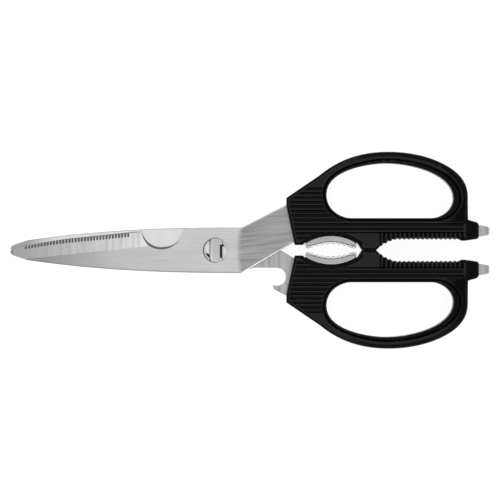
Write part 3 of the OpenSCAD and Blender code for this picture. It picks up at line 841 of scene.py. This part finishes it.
class Shader:
    """A material with one Principled shader and helpers that add nodes to it."""

    def __init__(self, name, **constants):
        self.material = bpy.data.materials.new(name)
        self.material.use_nodes = True
        self.tree = self.material.node_tree
        self.principled = self.tree.nodes["Principled BSDF"]
        for key, value in constants.items():
            self.principled.inputs[key.replace("_", " ")].default_value = value

    def node(self, kind, **settings):
        made = self.tree.nodes.new(kind)
        for key, value in settings.items():
            setattr(made, key, value)
        return made

    def link(self, source, target):
        self.tree.links.new(source, target)
        return source

    def mapped(self, scale, turn=0):
        """Object coordinates in mm, turned about Z and scaled."""
        coords = self.node("ShaderNodeTexCoord")
        mapping = self.node("ShaderNodeMapping")
        mapping.inputs["Rotation"].default_value = (0, 0, turn)
        self.link(coords.outputs["Object"], mapping.inputs["Vector"])
        stretch = self.node("ShaderNodeVectorMath", operation="MULTIPLY")
        self.link(mapping.outputs["Vector"], stretch.inputs[0])
        stretch.inputs[1].default_value = [s / MM for s in scale]
        return stretch.outputs["Vector"]

    def noise(self, scale, detail=2.0, turn=0):
        """Noise with so many features per mm along each axis."""
        made = self.node("ShaderNodeTexNoise")
        made.inputs["Scale"].default_value = 1.0
        made.inputs["Detail"].default_value = detail
        self.link(self.mapped(scale, turn), made.inputs["Vector"])
        return made.outputs["Fac"]

    def span(self, value, low, high, to_low, to_high, soft=False):
        """value, carried from one range to another."""
        made = self.node("ShaderNodeMapRange")
        if soft:
            made.interpolation_type = "SMOOTHSTEP"
        self.link(value, made.inputs["Value"])
        keys = ("From Min", "From Max", "To Min", "To Max")
        for key, number in zip(keys, (low, high, to_low, to_high)):
            made.inputs[key].default_value = number
        return made.outputs["Result"]

    def math(self, operation, a, b):
        made = self.node("ShaderNodeMath", operation=operation)
        for socket, value in zip(made.inputs, (a, b)):
            if isinstance(value, (int, float)):
                socket.default_value = value
            else:
                self.link(value, socket)
        return made.outputs["Value"]

    def mix(self, share, a, b):
        """Mix of two colours, each a colour or a socket."""
        made = self.node("ShaderNodeMix", data_type="RGBA")
        sockets = (made.inputs[0], made.inputs[6], made.inputs[7])
        for socket, value in zip(sockets, (share, a, b)):
            if isinstance(value, (int, float)):
                socket.default_value = value
            elif isinstance(value, tuple):
                socket.default_value = (*value, 1)
            else:
                self.link(value, socket)
        return made.outputs[2]

    def bump(self, height, strength, distance):
        made = self.node("ShaderNodeBump")
        made.inputs["Strength"].default_value = strength
        made.inputs["Distance"].default_value = distance * MM
        self.link(height, made.inputs["Height"])
        self.link(made.outputs["Normal"], self.principled.inputs["Normal"])

    def set(self, key, source):
        self.link(source, self.principled.inputs[key])

    def base(self):
        """What feeds the base colour now."""
        return self.principled.inputs["Base Color"].links[0].from_socket


def grey(value):
    """A neutral colour, linear."""
    return (value, value, value)


def plastic_material():
    """Satin on the faces at full height, and polished where the surface drops away, where painted
    shade makes it near black; pointed crests are lighter, partly from wear and partly as a painted
    glint.
    """
    s = Shader("satin_black_moulding", Specular_IOR_Level=0.06)
    grain = s.noise((5, 5, 5), 3)
    cloud = s.noise((0.09, 0.12, 0.12), 2)
    split = s.node("ShaderNodeSeparateXYZ")
    s.link(s.mapped((1, 1, 1)), split.inputs[0])
    face = s.span(s.math("ABSOLUTE", split.outputs["Z"], 0), half_t - 0.5, half_t - 0.03, 0, 1)
    # Pointed crests are lighter: partly edge wear, partly a painted glint on the grip's ridges
    pointed = s.node("ShaderNodeNewGeometry").outputs["Pointiness"]
    wear_and_glint = s.span(pointed, 0.505, 0.56, 0, 0.6, soft=True)
    satin = s.mix(cloud, grey(0.017), grey(0.025))
    # Painted shade: below full face height the colour falls to near black in the ribs, creases and
    # round edges
    base = s.mix(face, grey(0.001), satin)
    s.set("Base Color", s.mix(wear_and_glint, base, grey(0.035)))
    polish = s.span(grain, 0.3, 0.7, 0.24, 0.32)
    s.set("Roughness", s.math("ADD", polish, s.math("MULTIPLY", face, 0.2)))
    s.bump(grain, 0.25, 0.02)
    return s.material


def brushed(name, light, turn=0, contrast=1.0, roughness=0.3, length=0.05, coarse=1.4):
    """Brushed steel with its lines along the object's X, turned by an angle."""
    s = Shader(name, Metallic=1.0)
    fine = s.noise((length * 2, 7, 0.3), 3, turn)
    broad = s.noise((length, coarse, 0.1), 2, turn)
    cloud = s.noise((0.05, 0.1, 0.05), 2, turn)
    lines = s.math("ADD", s.math("MULTIPLY", fine, 0.7), s.math("MULTIPLY", broad, 0.3))
    tone = s.math("ADD", s.math("MULTIPLY", lines, 0.7), s.math("MULTIPLY", cloud, 0.3))
    spread = 0.16 * contrast
    share = s.span(tone, 0.35, 0.65, 0, 1)
    s.set("Base Color", s.mix(share, grey(light * (1 - spread)), grey(light * (1 + spread))))
    s.set("Roughness", s.span(lines, 0.35, 0.65, roughness - 0.05, roughness + 0.07))
    s.bump(fine, 0.12, 0.01)
    return s


def blade_xy(s):
    """X and Y in mm, and the distance from the blade's back."""
    split = s.node("ShaderNodeSeparateXYZ")
    s.link(s.mapped((1, 1, 1)), split.inputs[0])
    x, y = split.outputs["X"], split.outputs["Y"]
    taper = s.span(x, heel_x, blade_tip, 0, 1)
    fall = s.math("MULTIPLY", s.math("POWER", taper, back_power), -back_fall)
    return x, y, s.math("ADD", s.math("ADD", y, blade_w / 2), fall)


def blade_flat():
    """The outer face: light and brushed lengthwise on the blade, darker along the shank; the
    darkening towards the point, along the back and on the shank is painted shade, and the shank's
    edges carry painted highlights.
    """
    s = brushed("blade_brushed_steel", 0.73, contrast=0.6)
    x, y, from_back = blade_xy(s)
    light = s.base()
    # Painted shade: darker towards the point, darkest near it, and a dark line along the back
    light = s.mix(s.span(x, -70, -15, 0.45, 0, soft=True), light, grey(0.45))
    light = s.mix(s.span(x, blade_tip + 12, blade_tip + 48, 0.76, 0), light, grey(0.3))
    light = s.mix(s.span(from_back, 0.15, 0.8, 0.8, 0, soft=True), light, grey(0.25))
    # Painted shade: the shank is darker, standing for its other brushing catching less light
    bow = s.math("MULTIPLY", s.math("MULTIPLY", y, y), -heel_bow)
    on_shank = s.span(s.math("ADD", x, bow), 9.0, 12.2, 0, 1, soft=True)
    shank_lines = s.noise((0.05, 1.3, 0.3), 5, 0.4 - shank_angle)
    dark = s.mix(s.span(shank_lines, 0.33, 0.67, 0, 1), grey(0.26), grey(0.52))
    dark = s.mix(s.span(x, 12, 26, 0, 0.5), dark, grey(0.48))
    end, _ = shank_end()
    # Painted highlights: light lines along the shank's two chamfered edges
    low_edge_highlight = ([heel_x, -blade_w / 2], end[0], 0.85)
    high_edge_highlight = ([heel_x, blade_w / 2], end[-1], 0.6)
    for corner, far, highlight_level in (low_edge_highlight, high_edge_highlight):
        run = (far - corner) / np.linalg.norm(far - corner)
        from_x = s.math("MULTIPLY", x, float(-run[1]))
        across = s.math("ADD", from_x, s.math("MULTIPLY", y, float(run[0])))
        gap = s.math("SUBTRACT", across, float(corner[1] * run[0] - corner[0] * run[1]))
        rim = s.span(s.math("ABSOLUTE", gap, 0), 0.35, 0.55, 1, 0, soft=True)
        dark = s.mix(rim, dark, grey(highlight_level))
    s.set("Base Color", s.mix(on_shank, light, dark))
    return s.material


def ground_face():
    """The ground band, with grinding streaks across it, painted darker towards the point, and a
    painted shadow line along the cutting edge.
    """
    s = brushed("ground_bevel_steel", 0.84, turn=across_x, contrast=1.1, roughness=0.26, coarse=0.6)
    x, y, _ = blade_xy(s)
    light = s.base()
    streaks = s.noise((0.03, 0.45, 0.05), 3, across_x)
    light = s.mix(s.span(streaks, 0.35, 0.6, 0.6, 0), light, grey(0.5))
    # Painted shade: darker towards the point and at the tip's rounding
    light = s.mix(s.span(x, blade_tip + 4, notch_x - notch_r, 0.85, 0), light, grey(0.36))
    light = s.mix(s.span(x, blade_tip + 0.8, blade_tip + 2, 0.8, 0, soft=True), light, grey(0.2))
    ground_end, _ = grind(True)
    slope = float(ground_end(1.0) - ground_end(0.0))
    past = s.math("ADD", s.math("MULTIPLY", x, -slope), float(0.3 - ground_end(0.0)))
    # Painted shadow: a dark line just inside the cutting edge
    edge_shadow_line = s.span(s.math("ADD", y, past), -0.6, -0.25, 0, 0.9, soft=True)
    s.set("Base Color", s.mix(edge_shadow_line, light, grey(0.2)))
    return s.material


def inner_face():
    """The mating face, ground across, and duller on the shank."""
    s = brushed("inner_ground_steel", 0.92, turn=across_x, contrast=0.4, roughness=0.3, coarse=0.9)
    x, _, from_back = blade_xy(s)
    streaks = s.noise((0.02, 0.65, 0.05), 4, across_x)
    dull = s.mix(s.span(streaks, 0.3, 0.7, 0, 1), grey(0.42), grey(0.66))
    light = s.base()
    light = s.mix(s.span(from_back, 0.15, 0.5, 0.5, 0, soft=True), light, grey(0.4))
    light = s.mix(s.span(x, blade_tip + 5, blade_tip + 24, 0.8, 0, soft=True), light, grey(0.34))
    s.set("Base Color", s.mix(s.span(x, 6, 14, 0, 1, soft=True), light, dull))
    return s.material


def bit_steel():
    """Matte and blasted, with painted light and shade: bright beside the boss and at the tip's rim,
    darker between.
    """
    s = brushed("bit_matte_steel", 0.47, turn=across_x, contrast=0.9, roughness=0.38)
    x, _, _ = blade_xy(s)
    light = s.base()
    # Painted highlights beside the boss and at the tip's rim, painted shade between
    light = s.mix(s.span(x, bit_end - 2.8, bit_end - 1.1, 0, 0.6, soft=True), light, grey(0.3))
    light = s.mix(s.span(x, bit_end - 0.9, bit_end - 0.5, 0, 0.8, soft=True), light, grey(0.62))
    s.set("Base Color", s.mix(s.span(x, boss_end, boss_end + 0.5, 0.6, 0), light, grey(0.75)))
    return s.material


# ---- Scene ----


def make_floor():
    """A pale floor that the camera sees as lit through, with a faint shadow on it."""
    half = 1500
    corners = [[half * i, half * j, 0] for i, j in ((-1, -1), (1, -1), (1, 1), (-1, 1))]
    floor = mesh_object("floor", corners, [[0, 1, 2, 3]], Matrix.Identity(4))
    m = bpy.data.materials.new("pale_floor")
    m.use_nodes = True
    tree = m.node_tree
    tree.nodes.clear()
    out = tree.nodes.new("ShaderNodeOutputMaterial")
    diffuse = tree.nodes.new("ShaderNodeBsdfDiffuse")
    diffuse.inputs["Color"].default_value = (*grey(0.24), 1)
    glow = tree.nodes.new("ShaderNodeEmission")
    add = tree.nodes.new("ShaderNodeAddShader")
    tree.links.new(seen_directly(tree, 0.91), glow.inputs["Strength"])
    tree.links.new(diffuse.outputs[0], add.inputs[0])
    tree.links.new(glow.outputs[0], add.inputs[1])
    tree.links.new(add.outputs[0], out.inputs["Surface"])
    floor.data.materials.append(m)


def seen_directly(tree, amount):
    """amount where the camera, a reflection or a clear surface looks, and 0 for other light."""
    path = tree.nodes.new("ShaderNodeLightPath")
    seen = path.outputs["Is Camera Ray"]
    for ray in ("Is Glossy Ray", "Is Transmission Ray"):
        either = tree.nodes.new("ShaderNodeMath")
        either.operation = "MAXIMUM"
        tree.links.new(seen, either.inputs[0])
        tree.links.new(path.outputs[ray], either.inputs[1])
        seen = either.outputs[0]
    scale = tree.nodes.new("ShaderNodeMath")
    scale.operation = "MULTIPLY"
    scale.inputs[1].default_value = amount
    tree.links.new(seen, scale.inputs[0])
    return scale.outputs[0]


def softbox(name, place, size, power):
    """A soft lamp that looks at the middle of the part."""
    lamp = bpy.data.lights.new(name, "AREA")
    lamp.shape = "RECTANGLE"
    lamp.size, lamp.size_y = size
    lamp.energy = power
    o = bpy.data.objects.new(name, lamp)
    bpy.context.scene.collection.objects.link(o)
    o.location = place
    o.rotation_euler = (-Vector(place)).to_track_quat("-Z", "Y").to_euler()


def make_stage():
    """Floor, studio light and the camera."""
    make_floor()
    scene = bpy.context.scene
    scene.view_settings.view_transform = "Standard"
    world = bpy.data.worlds.new("studio")
    scene.world = world
    world.use_nodes = True
    tree = world.node_tree
    background = tree.nodes["Background"]
    coords = tree.nodes.new("ShaderNodeTexCoord")
    split = tree.nodes.new("ShaderNodeSeparateXYZ")
    tree.links.new(coords.outputs["Generated"], split.inputs[0])
    ramp = tree.nodes.new("ShaderNodeValToRGB")
    tree.links.new(split.outputs["Z"], ramp.inputs["Fac"])
    tree.links.new(ramp.outputs["Color"], background.inputs["Color"])
    # Brightness of the studio from below to straight above
    stops = ramp.color_ramp.elements
    stops[0].color = (*grey(0.8), 1)
    stops[1].color = (*grey(0.75), 1)
    for position, level in ((0.5, 0.9), (0.8, 0.9), (0.93, 0.76)):
        stops.new(position).color = (*grey(level), 1)
    softbox("key_softbox", (-1.1, 0.9, 0.75), (0.8, 0.7), 2.4)
    softbox("fill_softbox", (1.0, -1.1, 0.9), (1.0, 0.6), 1.5)

    # The photo's view, from straight above, a hair off centre so that its azimuth is defined
    camera_height = 1.6
    camera = bpy.data.cameras.new("camera")
    camera.lens = 240
    camera.sensor_width = 36
    o = bpy.data.objects.new("camera", camera)
    scene.collection.objects.link(o)
    o.location = (0, 0.0001, camera_height)
    scene.camera = o


make_handles(plastic_material())
make_jaws([
    brushed("jaw_casting_steel", 0.54, contrast=1.2, roughness=0.32, length=0.3).material,
    brushed("jaw_ground_steel", 0.90, contrast=0.3, roughness=0.22, length=0.3).material,
    brushed("jaw_gullet_shade_steel", 0.4, contrast=0.4, roughness=0.35, length=0.3).material,
])
make_bits(bit_steel())
steels = [
    blade_flat(),
    ground_face(),
    # A dark steel that paints shade on walls, serrations and the eye
    brushed("painted_shade_steel", 0.15, turn=across_x, contrast=0.6, roughness=0.4).material,
    inner_face(),
]
make_blade(True, "front_blade_steel", "front_half", FRONT, steels)
make_blade(False, "rear_blade_steel", "rear_half", REAR, steels)
stud_head = brushed("stud_turned_steel", 0.66, math.pi / 3, contrast=1.2, roughness=0.22, coarse=0.8)
# Near black, as painted shadow in the stud's slot
slot_shadow = brushed("stud_slot_shadow_steel", 0.05, turn=across_x, contrast=0.6, roughness=0.4)
make_stud([stud_head.material, slot_shadow.material, steels[1]])
make_stage()
